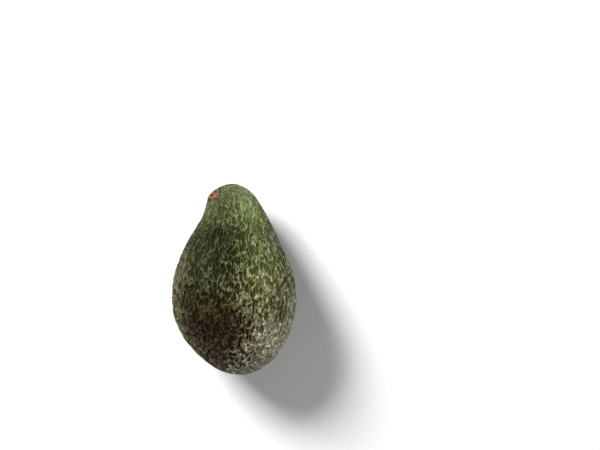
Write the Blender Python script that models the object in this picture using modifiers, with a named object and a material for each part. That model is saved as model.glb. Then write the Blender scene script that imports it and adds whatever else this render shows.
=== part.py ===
"""A whole pear-shaped avocado as it was picked, lying on its side.

The fruit is one solid. Its body is a coarse cage of rings from the blossom end to the neck, smoothed by a
Subdivision Surface modifier. The end of the neck turns to one side and up, to the stem scar, where a corky
ring stands round a small hollow. A flat spot is cut where the fruit rests.

Metres, +Z up. +Y points along the fruit to its neck. The origin is at the bottom centre of its box.
"""

import math

import bmesh
import bpy
from mathutils import Matrix, Vector

# Driving dimensions of the fruit as it lies
FRUIT_LENGTH = 0.1015
FRUIT_WIDTH = 0.0665
FRUIT_HEIGHT = 0.0640
FLAT_SPOT_DEPTH = 0.0007  # how much of the underside the flat spot takes off
LIE_ANGLE = math.radians(9)  # how far the neck hangs below level

# Rings of the body's cage, blossom end first. Along is a share of the fruit's length, and the other places
# and the half-width are shares of the belly's half-width. Turn is 0 for a ring square to the fruit's length
# and 1 for a ring that faces the way the scar does.
BODY_RINGS = (
    # along, sideways, upward, half-width, turn
    (0.007, 0.040, 0.000, 0.17, 0.00),
    (0.040, 0.040, 0.000, 0.40, 0.00),
    (0.105, 0.030, 0.000, 0.64, 0.00),
    (0.200, 0.015, 0.000, 0.865, 0.00),
    (0.310, 0.000, 0.000, 0.99, 0.00),
    (0.420, 0.000, 0.000, 1.01, 0.00),
    (0.530, 0.005, 0.000, 0.95, 0.00),
    (0.635, 0.020, 0.000, 0.805, 0.00),
    (0.720, 0.040, 0.000, 0.68, 0.05),
    (0.790, 0.060, 0.000, 0.56, 0.15),
    (0.850, 0.060, 0.020, 0.465, 0.35),
    (0.897, -0.005, 0.055, 0.385, 0.62),
    (0.922, -0.060, 0.095, 0.30, 0.82),
    (0.932, -0.115, 0.135, 0.215, 0.95),
)

# Stem scar: its place on the end of the neck, in the same shares, the way it faces, and its real sizes
SCAR_PLACE = (0.917, -0.190, 0.175)  # along, sideways, upward
SCAR_TURN_SIDEWAYS = math.radians(34)
SCAR_TURN_UPWARD = math.radians(31)
SCAR_RING_RADIUS = 0.0030  # crest of the corky ring
SCAR_RING_WIDTH = 0.0016
SCAR_RING_HEIGHT = 0.0007  # crest above the groove round it
SCAR_GROOVE_WIDTH = 0.0006  # from the ring's outer side to the groove's lowest line
SCAR_HOLLOW_RADIUS = 0.0014  # floor of the hollow
SCAR_HOLLOW_DEPTH = 0.0022  # floor below the crest
SCAR_SHOULDER = 0.3  # share of the ring's height where its outer and inner sides pass

CAGE_SIDES = 12
SMOOTH_LEVELS = 2
CAGE_SHRINK = (2 + math.cos(2 * math.pi / CAGE_SIDES)) / 3  # a smoothed ring's radius over its cage's
CUTTER_SIZE = 0.2

SKIN_COLOUR = (0.105, 0.125, 0.055, 1.0)
SKIN_ROUGHNESS = 0.42


def clear_scene():
    for obj in list(bpy.data.objects):
        bpy.data.objects.remove(obj)


def make_collection(name):
    collection = bpy.data.collections.new(name)
    bpy.context.scene.collection.children.link(collection)
    return collection


def body_place(along, sideways, upward):
    """A place inside the body, from its share of the length and its shares of the belly's half-width."""
    belly = FRUIT_WIDTH / 2
    return Vector((belly * sideways, FRUIT_LENGTH * along, belly * upward))


def scar_direction():
    """Outward direction of the scar, turned sideways and up from the fruit's length."""
    turn = Matrix.Rotation(SCAR_TURN_SIDEWAYS, 3, "Z") @ Matrix.Rotation(SCAR_TURN_UPWARD, 3, "X")
    return turn @ Vector((0, 1, 0))


def scar_rings():
    """Rings of the scar as (height above the groove, radius), from the groove in to the hollow's floor."""
    shoulder = SCAR_SHOULDER * SCAR_RING_HEIGHT
    outer_side = SCAR_RING_RADIUS + SCAR_RING_WIDTH / 2
    inner_side = SCAR_RING_RADIUS - SCAR_RING_WIDTH / 2
    return (
        (0, outer_side + SCAR_GROOVE_WIDTH),
        (shoulder, outer_side),
        (SCAR_RING_HEIGHT, SCAR_RING_RADIUS),
        (shoulder, inner_side),
        (SCAR_RING_HEIGHT - SCAR_HOLLOW_DEPTH, SCAR_HOLLOW_RADIUS),
    )


def cage_rings():
    """Every ring of the cage as (centre, direction, half-width, half-height), blossom end first."""
    belly = FRUIT_WIDTH / 2
    flattening = FRUIT_HEIGHT / FRUIT_WIDTH
    rings = []
    for along, sideways, upward, width, turn in BODY_RINGS:
        direction = Vector((0, 1, 0)).lerp(scar_direction(), turn).normalized()
        half_width = belly * width / CAGE_SHRINK
        rings.append((body_place(along, sideways, upward), direction, half_width, half_width * flattening))
    for height, radius in scar_rings():
        centre = body_place(*SCAR_PLACE) + scar_direction() * height
        rings.append((centre, scar_direction(), radius / CAGE_SHRINK, radius / CAGE_SHRINK))
    return rings


def ring_point(rings, index, around):
    """Place of the cage's vertex on this ring, at this angle round it. Ring 0 and the last are the poles."""
    if index == 0:
        return Vector((rings[0][0].x, 0, rings[0][0].z))
    if index > len(rings):
        return rings[-1][0]
    centre, direction, half_width, half_height = rings[index - 1]
    sideways = direction.cross(Vector((0, 0, 1))).normalized()
    upwards = sideways.cross(direction)
    return centre + sideways * half_width * math.cos(around) + upwards * half_height * math.sin(around)


def make_fruit(collection):
    """The smoothed cage: a sphere whose rings of vertices are moved to the fruit's rings."""
    rings = cage_rings()
    bands = len(rings) + 1
    bm = bmesh.new()
    bmesh.ops.create_uvsphere(bm, u_segments=CAGE_SIDES, v_segments=bands, radius=1)
    for vert in bm.verts:
        from_pole = math.acos(max(-1, min(1, -vert.co.z))) / math.pi
        around = math.atan2(vert.co.y, vert.co.x)
        vert.co = ring_point(rings, round(from_pole * bands), around)
    bmesh.ops.recalc_face_normals(bm, faces=bm.faces)
    mesh = bpy.data.meshes.new("fruit")
    bm.to_mesh(mesh)
    bm.free()
    fruit = bpy.data.objects.new("fruit", mesh)
    collection.objects.link(fruit)
    smooth = fruit.modifiers.new("smooth skin", "SUBSURF")
    smooth.levels = smooth.render_levels = SMOOTH_LEVELS
    return fruit


def smooth_bounds(obj):
    """Lowest and highest corner of the object with its modifiers."""
    obj.data.update()
    bpy.context.view_layer.update()
    evaluated = obj.evaluated_get(bpy.context.evaluated_depsgraph_get())
    mesh = evaluated.to_mesh()
    low = Vector([min(v.co[k] for v in mesh.vertices) for k in range(3)])
    high = Vector([max(v.co[k] for v in mesh.vertices) for k in range(3)])
    evaluated.to_mesh_clear()
    return low, high


def lay_down(fruit):
    """Tips the fruit to the angle it lies at, brings it to its real size and sinks it by the flat spot."""
    fruit.data.transform(Matrix.Rotation(-LIE_ANGLE, 4, "X"))
    low, high = smooth_bounds(fruit)
    size = high - low
    full_height = FRUIT_HEIGHT + FLAT_SPOT_DEPTH
    fit = Matrix.Diagonal((FRUIT_WIDTH / size.x, FRUIT_LENGTH / size.y, full_height / size.z, 1))
    bottom_centre = Vector(((low.x + high.x) / 2, (low.y + high.y) / 2, low.z))
    fruit.data.transform(fit @ Matrix.Translation(-bottom_centre))
    fruit.data.transform(Matrix.Translation((0, 0, -FLAT_SPOT_DEPTH)))


def cut_flat_spot(fruit, cutters):
    """Takes off what lies below the table's top, z = 0."""
    bpy.ops.mesh.primitive_cube_add(size=CUTTER_SIZE, location=(0, 0, -CUTTER_SIZE / 2))
    table = bpy.context.object
    table.name = "table_cutter"
    for collection in table.users_collection:
        collection.objects.unlink(table)
    cutters.objects.link(table)
    table.hide_render = True
    table.display_type = "WIRE"
    cut = fruit.modifiers.new("flat spot", "BOOLEAN")
    cut.operation = "DIFFERENCE"
    cut.object = table


def paint(fruit):
    skin = bpy.data.materials.new("skin")
    skin.use_nodes = True
    shader = skin.node_tree.nodes["Principled BSDF"]
    shader.inputs["Base Color"].default_value = SKIN_COLOUR
    shader.inputs["Roughness"].default_value = SKIN_ROUGHNESS
    shader.inputs["Metallic"].default_value = 0
    fruit.data.materials.append(skin)
    fruit.data.shade_smooth()


def main():
    clear_scene()
    fruit = make_fruit(make_collection("avocado"))
    lay_down(fruit)
    cut_flat_spot(fruit, make_collection("cutters"))
    paint(fruit)


main()
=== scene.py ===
import math

import bmesh
import bpy
from mathutils import Matrix, Vector


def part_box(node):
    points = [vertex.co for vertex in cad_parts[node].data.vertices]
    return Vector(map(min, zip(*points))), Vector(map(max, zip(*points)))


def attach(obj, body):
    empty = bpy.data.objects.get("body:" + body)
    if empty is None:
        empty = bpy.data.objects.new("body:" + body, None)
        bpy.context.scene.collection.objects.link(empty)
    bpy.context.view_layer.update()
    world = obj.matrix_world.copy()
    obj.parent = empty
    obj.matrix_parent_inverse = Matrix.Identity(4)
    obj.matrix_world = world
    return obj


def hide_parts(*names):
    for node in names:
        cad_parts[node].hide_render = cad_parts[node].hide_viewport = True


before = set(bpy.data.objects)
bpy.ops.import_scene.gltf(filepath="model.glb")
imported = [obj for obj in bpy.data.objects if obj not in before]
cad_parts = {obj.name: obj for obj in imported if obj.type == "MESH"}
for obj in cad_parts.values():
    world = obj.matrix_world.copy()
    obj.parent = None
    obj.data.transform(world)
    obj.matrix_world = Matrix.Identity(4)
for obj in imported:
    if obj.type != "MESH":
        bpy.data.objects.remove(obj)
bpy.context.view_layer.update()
fruitLow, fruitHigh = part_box("fruit")
fruitSize = fruitHigh - fruitLow
mm = 0.001
tiny = 1e-6                         # less than any angle or length that counts
noiseRange = (0.3, 0.7)             # most of a noise texture's values lie between these
spotCore = 0.25                     # a soft spot is full within this share of its reach


def selectOnly(piece):
    bpy.ops.object.select_all(action="DESELECT")
    bpy.context.view_layer.objects.active = piece
    piece.select_set(True)


def applyModifiers(piece):
    selectOnly(piece)
    for name in [modifier.name for modifier in piece.modifiers]:
        bpy.ops.object.modifier_apply(modifier=name)


def applyTree(piece, tree):
    modifier = piece.modifiers.new(tree.name, "NODES")
    modifier.node_group = tree
    applyModifiers(piece)


def applyPlace(piece, matrix):
    # moves the mesh and leaves the object at the origin
    selectOnly(piece)
    piece.matrix_world = matrix
    bpy.ops.object.transform_apply(location=True, rotation=True, scale=True)


def facing(share):
    # how far a ring turns sideways and up, for its share of the scar's turn
    return share * scar["turnSideways"], share * scar["turnUp"]


def outward(share):
    sideways, up = facing(share)
    return Matrix.Rotation(sideways, 3, "Z") @ Matrix.Rotation(up, 3, "X") @ Vector((0, 1, 0))


def turnSelected(angle, axis, centre):
    # without a window the operator turns the other way, so the angle is negative
    if abs(angle) > tiny:
        bpy.ops.transform.rotate(value=-angle, orient_axis=axis, center_override=centre)


def startRing(name, sides, centre, radius, turn=0, flattening=1):
    # a circle square to the fruit's length, flattened and turned, left in edit mode
    bpy.ops.object.select_all(action="DESELECT")
    bpy.ops.mesh.primitive_circle_add(vertices=sides, radius=radius, location=centre,
                                      rotation=(-math.pi / 2, 0, 0))
    piece = bpy.context.object
    piece.name = piece.data.name = name
    bpy.ops.object.transform_apply(location=True, rotation=True, scale=True)
    bpy.ops.object.mode_set(mode="EDIT")
    bpy.ops.mesh.select_all(action="SELECT")
    bpy.ops.transform.resize(value=(1, 1, flattening), center_override=centre)
    turnSideways, turnUp = facing(turn)
    turnSelected(turnUp, "X", centre)
    turnSelected(turnSideways, "Z", centre)
    return piece


def nextRing(step, centre, growth, oldTurn=0, turn=0):
    # extrudes the selected ring, then moves, resizes and turns it
    bpy.ops.mesh.extrude_region_move(TRANSFORM_OT_translate={"value": step})
    bpy.ops.transform.resize(value=(growth, growth, growth), center_override=centre)
    oldSideways, oldUp = facing(oldTurn)
    turnSideways, turnUp = facing(turn)
    turnSelected(-oldSideways, "Z", centre)
    turnSelected(turnUp - oldUp, "X", centre)
    turnSelected(turnSideways, "Z", centre)


def closeRing(step):
    # the selected ring runs to a point
    bpy.ops.mesh.extrude_region_move(TRANSFORM_OT_translate={"value": step})
    bpy.ops.mesh.merge(type="CENTER")


def selectFirst(piece, count):
    bpy.ops.mesh.select_all(action="DESELECT")
    bm = bmesh.from_edit_mesh(piece.data)
    bm.verts.ensure_lookup_table()
    for index in range(count):
        bm.verts[index].select = True
    bm.select_flush_mode()
    bmesh.update_edit_mesh(piece.data)


def cageShrink(sides):
    # smoothing pulls a ring in to this share of its cage's radius
    return (2 + math.cos(2 * math.pi / sides)) / 3


def finishCage(piece, levels):
    bpy.ops.mesh.select_all(action="SELECT")
    bpy.ops.mesh.normals_make_consistent(inside=False)
    bpy.ops.object.mode_set(mode="OBJECT")
    smooth = piece.modifiers.new("smooth", "SUBSURF")
    smooth.levels = smooth.render_levels = levels
    applyModifiers(piece)


def addNode(tree, kind, inputs=None, **settings):
    node = tree.nodes.new(kind)
    for name, value in settings.items():
        setattr(node, name, value)
    for name, value in (inputs or {}).items():
        if isinstance(value, bpy.types.NodeSocket):
            tree.links.new(value, node.inputs[name])
        else:
            node.inputs[name].default_value = value
    return node


def maths(tree, operation, first, second=0.0, clamp=False):
    node = addNode(tree, "ShaderNodeMath", {0: first, 1: second}, operation=operation, use_clamp=clamp)
    return node.outputs[0]


def vectorMaths(tree, operation, first, second=(0, 0, 0)):
    return addNode(tree, "ShaderNodeVectorMath", {0: first, 1: second}, operation=operation)


def mapTo(tree, value, fromLow, fromHigh, low=0.0, high=1.0, shape="SMOOTHSTEP"):
    inputs = {"Value": value, "From Min": fromLow, "From Max": fromHigh, "To Min": low, "To Max": high}
    return addNode(tree, "ShaderNodeMapRange", inputs, interpolation_type=shape).outputs[0]


def noiseOf(tree, place, size, detail=2.0, roughness=0.5):
    inputs = {"Vector": place, "Scale": 1 / size, "Detail": detail, "Roughness": roughness}
    return addNode(tree, "ShaderNodeTexNoise", inputs)


def pushAbout(tree, place, size, distance):
    # moves a pattern's place by up to about this distance, in swirls of this size
    swirl = noiseOf(tree, place, size).outputs["Color"]
    centred = vectorMaths(tree, "SUBTRACT", swirl, (0.5, 0.5, 0.5))
    inputs = {0: centred.outputs[0], 1: (2 * distance,) * 3, 2: place}
    return addNode(tree, "ShaderNodeVectorMath", inputs, operation="MULTIPLY_ADD").outputs[0]


def mixColour(tree, share, first, second, blend="MIX"):
    node = addNode(tree, "ShaderNodeMix", {0: share, 6: first, 7: second}, data_type="RGBA", blend_type=blend)
    return node.outputs[2]


def scaled(tree, colour, factor):
    return mixColour(tree, 1.0, colour, (factor, factor, factor, 1), "MULTIPLY")


def startGeometryTree(name):
    tree = bpy.data.node_groups.new(name, "GeometryNodeTree")
    tree.interface.new_socket("Geometry", in_out="INPUT", socket_type="NodeSocketGeometry")
    tree.interface.new_socket("Geometry", in_out="OUTPUT", socket_type="NodeSocketGeometry")
    return tree, addNode(tree, "NodeGroupInput"), addNode(tree, "NodeGroupOutput")


def keepNote(tree, start, name, value):
    # stores a value on the points, where the materials read it
    inputs = {"Geometry": start.outputs[0], "Name": name, "Value": value}
    return addNode(tree, "GeometryNodeStoreNamedAttribute", inputs, data_type="FLOAT")


def sinkSurface(tree, start, end, depth):
    # moves the points inwards by the depth
    normal = addNode(tree, "GeometryNodeInputNormal").outputs[0]
    inwards = addNode(tree, "ShaderNodeVectorMath", {0: normal, 3: maths(tree, "MULTIPLY", depth, -1)},
                      operation="SCALE").outputs[0]
    moved = addNode(tree, "GeometryNodeSetPosition", {"Geometry": start.outputs[0], "Offset": inwards})
    tree.links.new(moved.outputs[0], end.inputs[0])


# the fruit: places and half widths are shares of its length and of the belly's half width
fruit = {
    "sides": 24,
    "smoothLevels": 4,
    "flatSpotDepth": 0.7 * mm,
    "neckHang": math.radians(9),    # how far the neck lies below level
    # along, sideways, up, half width, turn towards the scar, stretch of the pebbles, and relief in mm
    "rings": [
        (0.013, 0.040, 0.000, 0.250, 0.00, 1.10, 0.50),
        (0.060, 0.037, 0.000, 0.505, 0.00, 1.10, 0.75),
        (0.130, 0.027, 0.000, 0.710, 0.00, 1.20, 0.85),
        (0.215, 0.013, 0.000, 0.890, 0.00, 1.30, 0.90),
        (0.310, 0.000, 0.000, 0.990, 0.00, 1.35, 0.90),
        (0.420, 0.000, 0.000, 1.010, 0.00, 1.40, 0.85),
        (0.530, 0.005, 0.000, 0.950, 0.00, 1.50, 0.75),
        (0.635, 0.020, 0.000, 0.805, 0.00, 1.60, 0.65),
        (0.725, 0.042, 0.000, 0.670, 0.05, 1.70, 0.52),
        (0.800, 0.060, 0.002, 0.540, 0.18, 1.90, 0.40),
        (0.868, 0.045, 0.030, 0.435, 0.45, 2.20, 0.34),
        (0.912, -0.030, 0.078, 0.335, 0.75, 2.60, 0.30),
        (0.931, -0.110, 0.133, 0.215, 0.95, 3.00, 0.26),
    ],
    "wellDip": 0.3 * mm,            # how far the middle of the hole under the scar lies below its last ring
    "crowdingFrom": 0.45,
    "neckCrowding": 0.6,            # from there to the scar the pebbles narrow as this power of the girth
    "leastTravel": 0.3,             # the pattern moves on from ring to ring by at least this share of the way
    # the pattern wanders in swirls of these sizes, and each pushes it this far
    "swirls": [(4.8 * mm, 1.3 * mm), (1.6 * mm, 0.455 * mm)],
    "linkSize": 2.6 * mm,
    "linkDraw": 0.7,                # below 1 the linked ridges run along the fruit
    "linkRoughness": 0.45,
    "linkWidth": 0.14,              # how far from a ridge's crest its foot is, in the noise's own scale
    "pebbleSize": 2.0 * mm,
    "pebbleRandomness": 0.9,
    "domeEdges": (0.10, 0.85),      # a dome's top and foot, as shares of the pebble's size
    "domeShare": 0.30,              # how far the pebbles stand apart as domes, against linked ridges
    "reliefLevels": (0.16, 0.90),   # the pattern's levels that become a pit's floor and a crest's top
    "meshDetail": 1.0,
    "colourDetail": 2.5,
    "patchSize": 8 * mm,
    "patchDepth": (0.65, 1.2),      # the relief is this much shallower or deeper from patch to patch
    "lumpSize": 16 * mm,
    "lumpHeight": 0.25 * mm,
}


def bodyPlace(along, sideways, up):
    belly = fruitSize.x / 2
    return Vector((belly * sideways, fruitSize.y * along, belly * up))


def markSelected(piece, centre, turn, girth, travel, relief):
    # notes on the selected points where they stand in the pebbles' pattern, and how deep the relief is there
    bm = bmesh.from_edit_mesh(piece.data)
    place = bm.verts.layers.float_vector.get("pebblePlace") or bm.verts.layers.float_vector.new("pebblePlace")
    depth = bm.verts.layers.float.get("reliefDepth") or bm.verts.layers.float.new("reliefDepth")
    turnSideways, turnUp = facing(turn)
    back = Matrix.Rotation(-turnUp, 3, "X") @ Matrix.Rotation(-turnSideways, 3, "Z")
    for vert in bm.verts:
        if vert.select:
            side = back @ (vert.co - centre)
            side.y = 0
            side = side.normalized() * girth if side.length > tiny else Vector((0, 0, 0))
            vert[place] = (side.x, travel, side.z)
            vert[depth] = relief
    bmesh.update_edit_mesh(piece.data)


def makeSkinCage():
    belly = fruitSize.x / 2
    shrink = cageShrink(fruit["sides"])
    rings = []
    for along, sideways, up, halfWidth, turn, stretch, relief in fruit["rings"]:
        rings.append((bodyPlace(along, sideways, up), belly * halfWidth / shrink, turn, stretch, relief * mm))
    for radius, height in scar["well"]:
        centre = bodyPlace(*scar["place"]) + outward(1) * height * mm
        rings.append((centre, radius * mm / shrink, 1, stretch, relief * mm))

    centre, radius, turn, stretch, relief = rings[0]
    piece = startRing("avocadoSkin", fruit["sides"], centre, radius, turn, fruitSize.z / fruitSize.x)
    markSelected(piece, centre, turn, radius, 0, relief)
    girth = radius
    travel = 0
    for old, new in zip(rings, rings[1:]):
        oldCentre, oldRadius, oldTurn = old[:3]
        centre, radius, turn, stretch, relief = new
        nextRing(centre - oldCentre, centre, radius / oldRadius, oldTurn, turn)
        oldGirth = girth
        girth = radius
        if centre.y > fruit["crowdingFrom"] * fruitSize.y:
            girth = belly * (radius / belly) ** fruit["neckCrowding"]
        arc = math.hypot((centre - oldCentre).length, radius - oldRadius) / stretch
        travel += math.sqrt(max(arc ** 2 - (girth - oldGirth) ** 2, (fruit["leastTravel"] * arc) ** 2))
        markSelected(piece, centre, turn, girth, travel, relief)
    closeRing(outward(1) * -fruit["wellDip"])

    # the blossom end, behind the first ring
    centre, relief = rings[0][0], rings[0][4]
    selectFirst(piece, fruit["sides"])
    closeRing(Vector((0, -centre.y, 0)))
    markSelected(piece, centre, turn=0, girth=0, travel=-centre.y, relief=relief)
    finishCage(piece, fruit["smoothLevels"])
    return piece


def meshBounds(piece):
    places = [vert.co for vert in piece.data.vertices]
    low = Vector([min(place[axis] for place in places) for axis in range(3)])
    high = Vector([max(place[axis] for place in places) for axis in range(3)])
    return low, high


def layDown(skin):
    # tips the fruit to the way it lies, fits it to the frame's box and sinks it by its flat spot
    tip = Matrix.Rotation(-fruit["neckHang"], 4, "X")
    applyPlace(skin, tip)
    low, high = meshBounds(skin)
    size = high - low
    drop = fruit["flatSpotDepth"]
    fit = Matrix.Diagonal((fruitSize.x / size.x, fruitSize.y / size.y, (fruitSize.z + drop) / size.z, 1))
    bottom = Vector(((low.x + high.x) / 2, (low.y + high.y) / 2, low.z))
    middle = Vector(((fruitLow.x + fruitHigh.x) / 2, (fruitLow.y + fruitHigh.y) / 2, fruitLow.z - drop))
    place = Matrix.Translation(middle) @ fit @ Matrix.Translation(-bottom)
    applyPlace(skin, place)
    return place @ tip


def pebblePattern(tree, place, detail):
    # crests are 1 and pits are 0: thin ridges that wander and link, over small domes
    pushed = place
    for size, distance in fruit["swirls"]:
        pushed = pushAbout(tree, pushed, size, distance)
    drawn = vectorMaths(tree, "MULTIPLY", pushed, (1, fruit["linkDraw"], 1)).outputs[0]
    level = noiseOf(tree, drawn, fruit["linkSize"], detail, fruit["linkRoughness"]).outputs[0]
    fromCrest = maths(tree, "ABSOLUTE", maths(tree, "SUBTRACT", level, 0.5))
    links = mapTo(tree, fromCrest, 0, fruit["linkWidth"], 1, 0, shape="LINEAR")
    inputs = {"Vector": pushed, "Scale": 1 / fruit["pebbleSize"], "Randomness": fruit["pebbleRandomness"]}
    cell = addNode(tree, "ShaderNodeTexVoronoi", inputs)
    dome = mapTo(tree, cell.outputs["Distance"], *fruit["domeEdges"], 1, 0, shape="LINEAR")
    share = fruit["domeShare"]
    both = maths(tree, "ADD", maths(tree, "MULTIPLY", links, 1 - share), maths(tree, "MULTIPLY", dome, share))
    return mapTo(tree, both, *fruit["reliefLevels"], shape="LINEAR")


def pebbleTree():
    tree, start, end = startGeometryTree("pebbledSkin")
    place = addNode(tree, "GeometryNodeInputNamedAttribute", {"Name": "pebblePlace"},
                    data_type="FLOAT_VECTOR").outputs[0]
    deepest = addNode(tree, "GeometryNodeInputNamedAttribute", {"Name": "reliefDepth"},
                      data_type="FLOAT").outputs[0]
    ridge = pebblePattern(tree, place, fruit["meshDetail"])
    patches = noiseOf(tree, place, fruit["patchSize"]).outputs[0]
    patchy = mapTo(tree, patches, *noiseRange, *fruit["patchDepth"])
    pit = maths(tree, "MULTIPLY", maths(tree, "SUBTRACT", 1, ridge), patchy)
    relief = maths(tree, "MULTIPLY", pit, deepest)
    position = addNode(tree, "GeometryNodeInputPosition").outputs[0]
    swell = noiseOf(tree, position, fruit["lumpSize"]).outputs[0]
    lump = mapTo(tree, swell, *noiseRange, 0, fruit["lumpHeight"])
    sinkSurface(tree, start, end, maths(tree, "ADD", relief, lump))
    return tree


def pressFlat(piece):
    # the underside is pressed flat where the fruit rests
    selectOnly(piece)
    bpy.ops.object.mode_set(mode="EDIT")
    bpy.ops.mesh.select_all(action="DESELECT")
    bm = bmesh.from_edit_mesh(piece.data)
    for vert in bm.verts:
        vert.select = vert.co.z < fruitLow.z
    bm.select_flush_mode()
    bmesh.update_edit_mesh(piece.data)
    bpy.ops.transform.resize(value=(1, 1, 0), center_override=(0, 0, fruitLow.z))
    bpy.ops.object.mode_set(mode="OBJECT")


# the corky ring that the stalk leaves
scar = {
    "place": (0.917, -0.190, 0.175),
    "turnSideways": math.radians(34),
    "turnUp": math.radians(31),
    "sides": 24,
    "smoothLevels": 3,
    "well": [(4.0, -0.1), (3.7, -1.8)],     # hole in the skin under the ring: radius and height in mm
    # radius and height over the skin's end in mm, from the outer skirt in to the hollow's floor
    "profile": [(4.05, -1.5), (4.0, -0.45), (3.75, 0.05), (3.4, 0.45), (3.0, 0.66), (2.6, 0.45),
                (2.3, -0.15), (2.1, -0.90), (1.8, -1.50), (1.2, -1.80), (0.5, -1.70)],
    "crest": 3.0 * mm,              # the crest's radius
    "crumbSize": 0.7 * mm,
    "crumbDepth": 0.32 * mm,
    "lumpSize": 2.4 * mm,
    "lumpDepth": 0.45 * mm,
}

# the small dry knob where the flower was
blossomEnd = {
    "place": (0.0045, 0.040, 0.000),
    "sides": 16,
    "smoothLevels": 3,
    "profile": [(2.2, -1.6), (2.15, -0.6), (1.9, -0.1), (1.5, 0.18), (1.1, 0.12), (0.8, -0.15),
                (0.45, -0.25)],
    "crest": 1.5 * mm,
    "crumbSize": 0.6 * mm,
    "crumbDepth": 0.2 * mm,
    "lumpSize": 1.5 * mm,
    "lumpDepth": 0.1 * mm,
}

# what both scars' cork shares
cork = {
    "floorRise": 0.1 * mm,          # the floor's middle over its last ring
    "undersideDip": 0.3 * mm,       # the hidden underside's middle below its ring
    "swirl": (1.2 * mm, 0.3 * mm),  # size of the crumbs' swirls, and how far they push
    "crumbEdges": (0.1, 0.8),       # a crumb's top and foot, as shares of its size
    "crumbShare": 0.6,              # how far the crumbs make the surface, against finer roughness
    "fineSize": 0.5,                # the finer roughness, as a share of the crumbs' size
    "fineDetail": 3,
    "fineRoughness": 0.6,
}


def makeCork(name, values, direction, turn, laying):
    # a corky ring from its profile, which stands on the skin and faces this direction
    centre = bodyPlace(*values["place"])
    shrink = cageShrink(values["sides"])
    rings = [(centre + direction * height * mm, radius * mm / shrink) for radius, height in values["profile"]]
    piece = startRing(name, values["sides"], rings[0][0], rings[0][1], turn)
    for old, new in zip(rings, rings[1:]):
        nextRing(new[0] - old[0], new[0], new[1] / old[1], turn, turn)
    closeRing(direction * cork["floorRise"])
    selectFirst(piece, values["sides"])
    closeRing(direction * -cork["undersideDip"])
    finishCage(piece, values["smoothLevels"])
    applyPlace(piece, laying)
    applyTree(piece, corkTree(values, laying @ centre, laying.to_3x3() @ direction))
    piece.data.shade_smooth()
    return piece


def corkTree(values, middle, axis):
    tree, start, end = startGeometryTree("crumblyCork")
    position = addNode(tree, "GeometryNodeInputPosition").outputs[0]

    # distance from the scar's axis, where the crest's radius is 1
    fromMiddle = vectorMaths(tree, "SUBTRACT", position, middle).outputs[0]
    across = vectorMaths(tree, "CROSS_PRODUCT", fromMiddle, axis.normalized()).outputs[0]
    away = vectorMaths(tree, "LENGTH", across).outputs["Value"]
    noted = keepNote(tree, start, "fromScarMiddle", maths(tree, "DIVIDE", away, values["crest"]))

    pushed = pushAbout(tree, position, *cork["swirl"])
    cell = addNode(tree, "ShaderNodeTexVoronoi", {"Vector": pushed, "Scale": 1 / values["crumbSize"]})
    crumb = mapTo(tree, cell.outputs["Distance"], *cork["crumbEdges"], 1, 0)
    fineSize = cork["fineSize"] * values["crumbSize"]
    fine = noiseOf(tree, position, fineSize, cork["fineDetail"], cork["fineRoughness"]).outputs[0]
    share = cork["crumbShare"]
    fineRelief = maths(tree, "MULTIPLY", fine, 1 - share)
    ridge = maths(tree, "ADD", maths(tree, "MULTIPLY", crumb, share), fineRelief)
    depth = maths(tree, "MULTIPLY", maths(tree, "SUBTRACT", 1, ridge), values["crumbDepth"])
    lump = noiseOf(tree, position, values["lumpSize"]).outputs[0]
    uneven = mapTo(tree, lump, *noiseRange, 0, values["lumpDepth"])
    sinkSurface(tree, keepNote(tree, noted, "crumb", ridge), end, maths(tree, "ADD", depth, uneven))
    return tree


def linear(colour):
    # a screen's colour in the shader's own scale
    parts = [((part + 0.055) / 1.055) ** 2.4 if part > 0.04045 else part / 12.92 for part in colour]
    return (*parts, 1)


def startMaterial(name):
    material = bpy.data.materials.new(name)
    material.use_nodes = True
    return material, material.node_tree.nodes["Principled BSDF"]


def readNote(tree, name):
    return addNode(tree, "ShaderNodeAttribute", attribute_name=name)


def softSpot(tree, place, centre, reach, strength):
    # a mask that is full near its centre and fades to nothing at its reach
    distance = vectorMaths(tree, "DISTANCE", place, centre).outputs["Value"]
    return mapTo(tree, distance, reach, spotCore * reach, 0, strength)


# fine grain of plant tissue, for skin and cork alike
tissue = {
    "detail": 4.0,
    "roughness": 0.6,
    "speckEdges": (0.22, 0.08),     # a speck's edge and its full middle, as shares of its size
    "bareShare": 0.72,              # this share of the places for a speck has none
}


def makeTissueGrain():
    # puts out a mottle, specks, and the height for a bump
    tree = bpy.data.node_groups.new("tissueGrain", "ShaderNodeTree")
    for name, kind in (("Place", "NodeSocketVector"), ("Grain Size", "NodeSocketFloat"),
                       ("Speck Size", "NodeSocketFloat")):
        tree.interface.new_socket(name, in_out="INPUT", socket_type=kind)
    for name in ("Mottle", "Speck", "Height"):
        tree.interface.new_socket(name, in_out="OUTPUT", socket_type="NodeSocketFloat")
    start = addNode(tree, "NodeGroupInput")
    end = addNode(tree, "NodeGroupOutput")
    place = start.outputs["Place"]
    grainScale = maths(tree, "DIVIDE", 1, start.outputs["Grain Size"])
    speckScale = maths(tree, "DIVIDE", 1, start.outputs["Speck Size"])
    inputs = {"Vector": place, "Scale": grainScale,
              "Detail": tissue["detail"], "Roughness": tissue["roughness"]}
    mottle = addNode(tree, "ShaderNodeTexNoise", inputs).outputs[0]
    cell = addNode(tree, "ShaderNodeTexVoronoi", {"Vector": place, "Scale": speckScale, "Randomness": 1.0})
    speck = mapTo(tree, cell.outputs["Distance"], *tissue["speckEdges"])
    chosen = maths(tree, "GREATER_THAN", cell.outputs["Color"], tissue["bareShare"])
    tree.links.new(mapTo(tree, mottle, *noiseRange), end.inputs["Mottle"])
    tree.links.new(maths(tree, "MULTIPLY", speck, chosen), end.inputs["Speck"])
    tree.links.new(mottle, end.inputs["Height"])
    return tree


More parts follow.
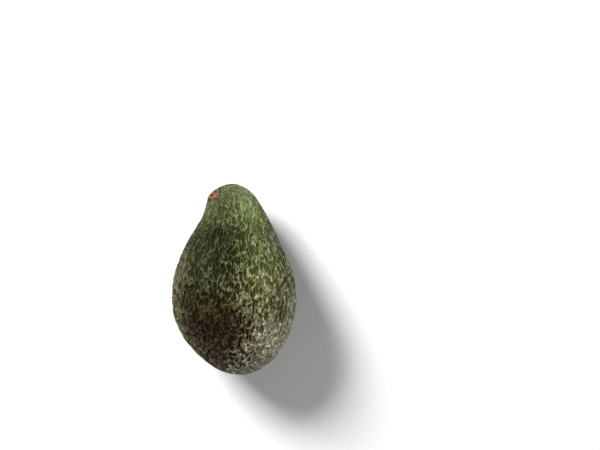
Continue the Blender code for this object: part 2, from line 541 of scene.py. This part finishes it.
def placeGrain(tree, tissueGrain, place, grainSize, speckSize):
    inputs = {"Place": place, "Grain Size": grainSize, "Speck Size": speckSize}
    return addNode(tree, "ShaderNodeGroup", inputs, node_tree=tissueGrain)


# the skin's colours, as a screen shows them, with painted light and shade in them
skinTonesAndPaintedLight = {
    # each side has its own row from the blossom end to the neck, with the place along the fruit in mm. The
    # left row is darker: partly the skin's own deep green and ripening brown, partly painted shade, most on
    # the left of the neck. The right row is lighter and greyer: partly the skin's own grey green, partly
    # painted sheen. Both rows are lighter at the neck end, partly as painted light
    "left": [(-46, (0.27, 0.215, 0.13)), (-36, (0.26, 0.200, 0.09)), (-26, (0.20, 0.135, 0.035)),
             (-15, (0.190, 0.145, 0.020)), (4, (0.200, 0.215, 0.025)), (14, (0.165, 0.205, 0.015)),
             (24, (0.150, 0.185, 0.020)), (34, (0.29, 0.33, 0.15)), (44, (0.36, 0.38, 0.23))],
    "right": [(-46, (0.66, 0.63, 0.51)), (-38, (0.76, 0.73, 0.60)), (-28, (0.62, 0.60, 0.46)),
              (-20, (0.45, 0.435, 0.28)), (-8, (0.49, 0.490, 0.30)), (4, (0.46, 0.48, 0.28)),
              (14, (0.43, 0.45, 0.27)), (26, (0.37, 0.40, 0.21)), (38, (0.48, 0.53, 0.33))],
    # how far across in mm the two rows meet, along the fruit, and the most that it may be
    "border": [(-48, -5), (-40, 5), (-32, 10), (-22, 9), (-10, 5), (-3, 3), (6, 8), (16, 10), (26, 5),
               (38, 1)],
    "borderMost": 20,
    "borderSoftness": 9 * mm,
    "crestReach": 3 * mm,           # crests change colour this far before the border, and pits after it
    "crestReachLevels": (0.1, 0.9),
    # the colours wander in swirls of these sizes, and each pushes them this far
    "swirls": [(14 * mm, 8 * mm), (4 * mm, 3 * mm)],
    # a lighter, greyer rim on the left side: painted light bounced from the pale floor
    "leftEdge": (0.34, 0.32, 0.205),
    "leftEdgeFrom": -18 * mm,
    "leftEdgeTo": -30 * mm,
    "leftEdgeShare": 0.8,
    # soft patches: place and reach in mm, how strong, and the colour
    "patches": [((20, -31, 48), 14, 0.75, (0.82, 0.79, 0.66)),      # pale: partly the skin's own waxy bloom, partly painted sheen
                ((28, -20, 38), 18, 0.85, (0.66, 0.68, 0.54)),      # grey green: partly the skin's own grey, partly painted sheen
                ((19, 30, 34), 11, 0.55, (0.44, 0.47, 0.17))],      # lime green
    "halo": (0.52, 0.55, 0.34),     # round the stem scar: paler skin with painted light on the neck
    "haloReach": 12 * mm,
    "haloShare": 0.8,
    "grainSize": 1.6 * mm,
    "grainDarkest": 0.70,
    "grainLightest": 1.28,
    "speck": (0.66, 0.62, 0.46),
    "speckSize": 1.7 * mm,
    "speckShare": 0.4,
    "rust": (0.50, 0.30, 0.19),
    "rustSize": 3.2 * mm,
    "rustShare": 0.5,
}

# how crests and pits change the skin's colour, and its gloss, with painted shade in the pits and painted
# highlight on the crests. Factors are shares of the skin's own colour
skinRelief = {
    "shallow": 0.25 * mm,           # relief that counts as shallow, as on the neck
    "deep": 0.60 * mm,              # and as deep, as on the belly
    "striationSize": 0.75 * mm,
    "striationDraw": 0.45,          # below 1 the fine striations run along the fruit
    "striationRoughness": 0.6,
    "striationLevels": (0.35, 0.70),
    "streakShares": (0.5, 0.1),     # how strong the pale streaks are on shallow and deep relief
    "streak": 1.7,
    "crestFoot": 0.92,
    "crestTops": (1.25, 2.1),       # how much paler crests' tops are, partly painted highlight, on shallow and deep relief
    "crestLevels": (0.50, 0.98),
    "highlightAndWaxSaturation": 0.82,          # crests' tops are greyer: wax and painted highlight
    "shallowPit": 0.80,
    "pitByNeck": 0.60,
    "pit": 0.36,
    "pitDarkens": (22 * mm, -12 * mm),      # from the first pit factor to the second, along the fruit
    "calm": ((26, -26, 42), 30, 1.0),       # pits are paler here, with less painted shade where the lower flank is lit flat: place and reach in mm, how strong
    "calmPit": 0.74,
    "calmFilling": 0.22,            # and crests are broader
    "crestEdge": (0.05, 0.60),      # levels of the pattern where pit turns to crest
    "roughnessLevels": (0.2, 0.9),
    "roughness": (0.60, 0.42),      # of pits and of crests
    "waxLevels": (0.4, 0.95),
    "wax": 0.20,                    # coat on the crests
    "waxRoughness": 0.38,
    "specular": 0.14,
    "bumpDepth": 2.07 * mm,
}


def rampAlong(tree, lengthwise, row):
    # a ramp over the fruit's length, from pairs of a place in mm and a colour in the shader's scale
    ramp = addNode(tree, "ShaderNodeValToRGB")
    half = fruitSize.y / mm / 2
    while len(ramp.color_ramp.elements) < len(row):
        ramp.color_ramp.elements.new(0.5)
    for element, (place, colour) in zip(ramp.color_ramp.elements, row):
        element.position = (place + half) / (2 * half)
        element.color = colour
    tree.links.new(mapTo(tree, lengthwise, -half * mm, half * mm, shape="LINEAR"), ramp.inputs[0])
    return ramp.outputs["Color"]


def toneRow(tree, lengthwise, row):
    return rampAlong(tree, lengthwise, [(place, linear(colour)) for place, colour in row])


def numberRow(tree, lengthwise, row, most):
    # numbers in mm from -most to most
    shades = [(place, ((number / most + 1) / 2,) * 3 + (1,)) for place, number in row]
    shade = rampAlong(tree, lengthwise, shades)
    return mapTo(tree, shade, 0, 1, -most * mm, most * mm, shape="LINEAR")


def groundToneAndPaintedLight(tree, place, wobbled, ridge, scarMiddle):
    # the two sides' rows, the left edge, the soft patches, and the paler, yellower skin round the scar, with
    # the painted shade, sheen and light that these carry
    tones = skinTonesAndPaintedLight
    across, lengthwise = addNode(tree, "ShaderNodeSeparateXYZ", {0: wobbled}).outputs[:2]
    left = toneRow(tree, lengthwise, tones["left"])
    right = toneRow(tree, lengthwise, tones["right"])
    border = numberRow(tree, lengthwise, tones["border"], tones["borderMost"])
    reach = tones["crestReach"]
    crestShift = mapTo(tree, ridge, *tones["crestReachLevels"], -reach, reach, shape="LINEAR")
    fromBorder = maths(tree, "ADD", maths(tree, "SUBTRACT", across, border), crestShift)
    toRight = mapTo(tree, fromBorder, -tones["borderSoftness"], tones["borderSoftness"])
    ground = mixColour(tree, toRight, left, right)
    edge = mapTo(tree, across, tones["leftEdgeFrom"], tones["leftEdgeTo"], 0, tones["leftEdgeShare"])
    ground = mixColour(tree, edge, ground, linear(tones["leftEdge"]))
    for spot, reach, strength, colour in tones["patches"]:
        share = softSpot(tree, wobbled, Vector(spot) * mm, reach * mm, strength)
        ground = mixColour(tree, share, ground, linear(colour))
    # paler skin round the scar, with painted light on the neck
    halo = softSpot(tree, place, scarMiddle, tones["haloReach"], tones["haloShare"])
    return mixColour(tree, halo, ground, linear(tones["halo"]))


def makeSkinMaterial(tissueGrain, scarMiddle):
    material, shader = startMaterial("ripeningAvocadoSkin")
    tree = material.node_tree
    tones = skinTonesAndPaintedLight
    values = skinRelief
    place = addNode(tree, "ShaderNodeTexCoord").outputs["Object"]
    pebblePlace = readNote(tree, "pebblePlace").outputs["Vector"]
    ridge = pebblePattern(tree, pebblePlace, fruit["colourDetail"])
    wobbled = place
    for size, distance in tones["swirls"]:
        wobbled = pushAbout(tree, wobbled, size, distance)
    ground = groundToneAndPaintedLight(tree, place, wobbled, ridge, scarMiddle)
    grain = placeGrain(tree, tissueGrain, place, tones["grainSize"], tones["speckSize"])
    darkest = (tones["grainDarkest"],) * 3 + (1,)
    lightest = (tones["grainLightest"],) * 3 + (1,)
    dim = mixColour(tree, grain.outputs["Mottle"], darkest, lightest)
    ground = mixColour(tree, 1.0, ground, dim, "MULTIPLY")

    # pale streaks along the fruit, finer than the mesh
    deep = mapTo(tree, readNote(tree, "reliefDepth").outputs["Fac"], values["shallow"], values["deep"])
    lines = vectorMaths(tree, "MULTIPLY", pebblePlace, (1, values["striationDraw"], 1)).outputs[0]
    fine = noiseOf(tree, lines, values["striationSize"], roughness=values["striationRoughness"])
    striation = fine.outputs[0]
    streak = maths(tree, "MULTIPLY", mapTo(tree, striation, *values["striationLevels"]),
                   mapTo(tree, deep, 0, 1, *values["streakShares"]))
    ground = mixColour(tree, streak, ground, scaled(tree, ground, values["streak"]))

    # crests are paler and greyer towards their tops, partly wax and partly painted highlight, with specks and
    # a little rust
    waxInputs = {"Saturation": values["highlightAndWaxSaturation"], "Color": ground,
                 "Value": mapTo(tree, deep, 0, 1, *values["crestTops"])}
    highlightAndWax = addNode(tree, "ShaderNodeHueSaturation", waxInputs).outputs[0]
    foot = scaled(tree, ground, values["crestFoot"])
    crest = mixColour(tree, mapTo(tree, ridge, *values["crestLevels"]), foot, highlightAndWax)
    specks = maths(tree, "MULTIPLY", grain.outputs["Speck"], tones["speckShare"])
    crest = mixColour(tree, specks, crest, linear(tones["speck"]))
    rust = placeGrain(tree, tissueGrain, wobbled, tones["rustSize"], tones["rustSize"])
    rusty = maths(tree, "MULTIPLY", rust.outputs["Speck"], tones["rustShare"])
    crest = mixColour(tree, rusty, crest, linear(tones["rust"]))

    # pits are darker where the relief is deep, and darkest on the belly: partly their own darker colour,
    # partly painted shade
    lengthwise = addNode(tree, "ShaderNodeSeparateXYZ", {0: wobbled}).outputs[1]
    lower = mapTo(tree, lengthwise, *values["pitDarkens"])
    neckPit = scaled(tree, ground, values["pitByNeck"])
    pit = mixColour(tree, lower, neckPit, scaled(tree, ground, values["pit"]))
    pit = mixColour(tree, deep, scaled(tree, ground, values["shallowPit"]), pit)
    # less painted shade in the pits on the flatly lit lower flank, where crests are also broader
    spot, reach, strength = values["calm"]
    calm = softSpot(tree, wobbled, Vector(spot) * mm, reach * mm, strength)
    pit = mixColour(tree, calm, pit, scaled(tree, ground, values["calmPit"]))
    fuller = maths(tree, "ADD", ridge, maths(tree, "MULTIPLY", calm, values["calmFilling"]))
    skin = mixColour(tree, mapTo(tree, fuller, *values["crestEdge"]), pit, crest)

    tree.links.new(skin, shader.inputs["Base Color"])
    roughness = mapTo(tree, ridge, *values["roughnessLevels"], *values["roughness"])
    tree.links.new(roughness, shader.inputs["Roughness"])
    tree.links.new(mapTo(tree, ridge, *values["waxLevels"], 0, values["wax"]), shader.inputs["Coat Weight"])
    shader.inputs["Coat Roughness"].default_value = values["waxRoughness"]
    shader.inputs["Specular IOR Level"].default_value = values["specular"]
    height = maths(tree, "ADD", ridge, striation)
    bumpInputs = {"Height": height, "Distance": values["bumpDepth"], "Strength": 1.0}
    bump = addNode(tree, "ShaderNodeBump", bumpInputs)
    tree.links.new(bump.outputs[0], shader.inputs["Normal"])
    return material


# the scars' colours and grain. Edges are shares of the crest's radius
corkFinish = {
    "ring": (0.80, 0.60, 0.45),
    "ringDark": (0.40, 0.22, 0.13),
    # the hollow is dark red brown to nearly black: its own colour, deepened with painted shade
    "hollow": (0.32, 0.08, 0.04),
    "hollowDark": (0.10, 0.02, 0.01),
    "crack": (0.13, 0.10, 0.05),
    "hollowEdge": (0.70, 0.98),     # from the hollow's colour to the ring's
    "crackEdge": (1.12, 1.28),      # from the ring's colour to the crack round it
    "crumbLevels": (0.20, 0.60),
    "grainSize": 0.8 * mm,
    "grainShares": (0.5, 1.0),      # how pale the ring is in the mottle's dark and light parts
    "patchSize": 4 * mm,
    "patchShares": (0.45, 1.1),     # and in the dark and light parts of larger patches
    "speckSize": 0.7 * mm,
    "speckShare": 0.4,
    "roughness": 0.8,
    "bumpDepth": 0.3 * mm,
    "bumpStrength": 0.8,
}


def makeCorkMaterial(tissueGrain):
    material, shader = startMaterial("stemScarCork")
    tree = material.node_tree
    values = corkFinish
    place = addNode(tree, "ShaderNodeTexCoord").outputs["Object"]
    crumb = readNote(tree, "crumb").outputs["Fac"]
    away = readNote(tree, "fromScarMiddle").outputs["Fac"]
    grain = placeGrain(tree, tissueGrain, place, values["grainSize"], values["speckSize"])
    mottle = grain.outputs["Mottle"]
    larger = placeGrain(tree, tissueGrain, place, values["patchSize"], values["patchSize"]).outputs["Mottle"]
    grainShare = mapTo(tree, mottle, 0, 1, *values["grainShares"])
    patchShare = mapTo(tree, larger, 0, 1, *values["patchShares"])
    pale = maths(tree, "MULTIPLY", mapTo(tree, crumb, *values["crumbLevels"]), grainShare)
    pale = maths(tree, "MULTIPLY", pale, patchShare, clamp=True)
    ring = mixColour(tree, pale, linear(values["ringDark"]), linear(values["ring"]))
    hollow = mixColour(tree, mottle, linear(values["hollowDark"]), linear(values["hollow"]))
    colour = mixColour(tree, mapTo(tree, away, *values["hollowEdge"]), hollow, ring)
    colour = mixColour(tree, mapTo(tree, away, *values["crackEdge"]), colour, linear(values["crack"]))
    specks = maths(tree, "MULTIPLY", grain.outputs["Speck"], values["speckShare"])
    colour = mixColour(tree, specks, colour, linear(values["crack"]))
    tree.links.new(colour, shader.inputs["Base Color"])
    shader.inputs["Roughness"].default_value = values["roughness"]
    bumpInputs = {"Height": grain.outputs["Height"], "Distance": values["bumpDepth"],
                  "Strength": values["bumpStrength"]}
    bump = addNode(tree, "ShaderNodeBump", bumpInputs)
    tree.links.new(bump.outputs[0], shader.inputs["Normal"])
    return material


def dress(piece, material):
    piece.data.materials.clear()
    piece.data.materials.append(material)
    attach(piece, "root")


# the floor, light and camera
studio = {
    "floorSize": 6,
    "floorColour": (0.90, 0.90, 0.90, 1),
    "floorRoughness": 0.7,
    "worldColour": (0.97, 0.98, 1.0, 1),
    "worldStrength": 0.20,
    "keySize": 0.6,
    "keyPower": 42,
    "keyFrom": (-0.75, 0.95, 1.05),
    "fillSize": 0.8,
    "fillPower": 6,
    "fillFrom": (1.15, -0.65, 0.75),
    "cameraPlace": (0.0380, 0.0253, 0.913),
    "cameraTurn": math.radians(-4.94),
    "lens": 100,
}


def areaLight(name, place, size, power):
    bpy.ops.object.light_add(type="AREA", location=place)
    lamp = bpy.context.object
    lamp.name = name
    lamp.data.size = size
    lamp.data.energy = power
    lamp.rotation_euler = Vector(place).to_track_quat("Z", "Y").to_euler()


def makeStudio():
    bpy.ops.mesh.primitive_plane_add(size=studio["floorSize"], location=(0, 0, 0))
    floor = bpy.context.object
    floor.name = "floor"
    material, shader = startMaterial("paleFloor")
    shader.inputs["Base Color"].default_value = studio["floorColour"]
    shader.inputs["Roughness"].default_value = studio["floorRoughness"]
    floor.data.materials.append(material)
    world = bpy.data.worlds.new("studioAir")
    world.use_nodes = True
    background = world.node_tree.nodes["Background"]
    background.inputs["Color"].default_value = studio["worldColour"]
    background.inputs["Strength"].default_value = studio["worldStrength"]
    bpy.context.scene.world = world
    areaLight("keyLight", studio["keyFrom"], studio["keySize"], studio["keyPower"])
    areaLight("fillLight", studio["fillFrom"], studio["fillSize"], studio["fillPower"])
    bpy.ops.object.camera_add(location=studio["cameraPlace"], rotation=(0, 0, studio["cameraTurn"]))
    camera = bpy.context.object
    camera.data.lens = studio["lens"]
    bpy.context.scene.camera = camera
    bpy.context.scene.view_settings.view_transform = "Standard"


tissueGrain = makeTissueGrain()
skin = makeSkinCage()
laying = layDown(skin)
applyTree(skin, pebbleTree())
pressFlat(skin)
skin.data.shade_smooth()
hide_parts("fruit")
dress(skin, makeSkinMaterial(tissueGrain, laying @ bodyPlace(*scar["place"])))
print("skin:", len(skin.data.polygons), "faces")

scarCork = makeCorkMaterial(tissueGrain)
ring = makeCork("stemScar", scar, outward(1), 1, laying)
dress(ring, scarCork)
print("stem scar:", len(ring.data.polygons), "faces")
knob = makeCork("blossomScar", blossomEnd, Vector((0, -1, 0)), 0, laying)
dress(knob, scarCork)
print("blossom end:", len(knob.data.polygons), "faces")

makeStudio()
print("studio ready")
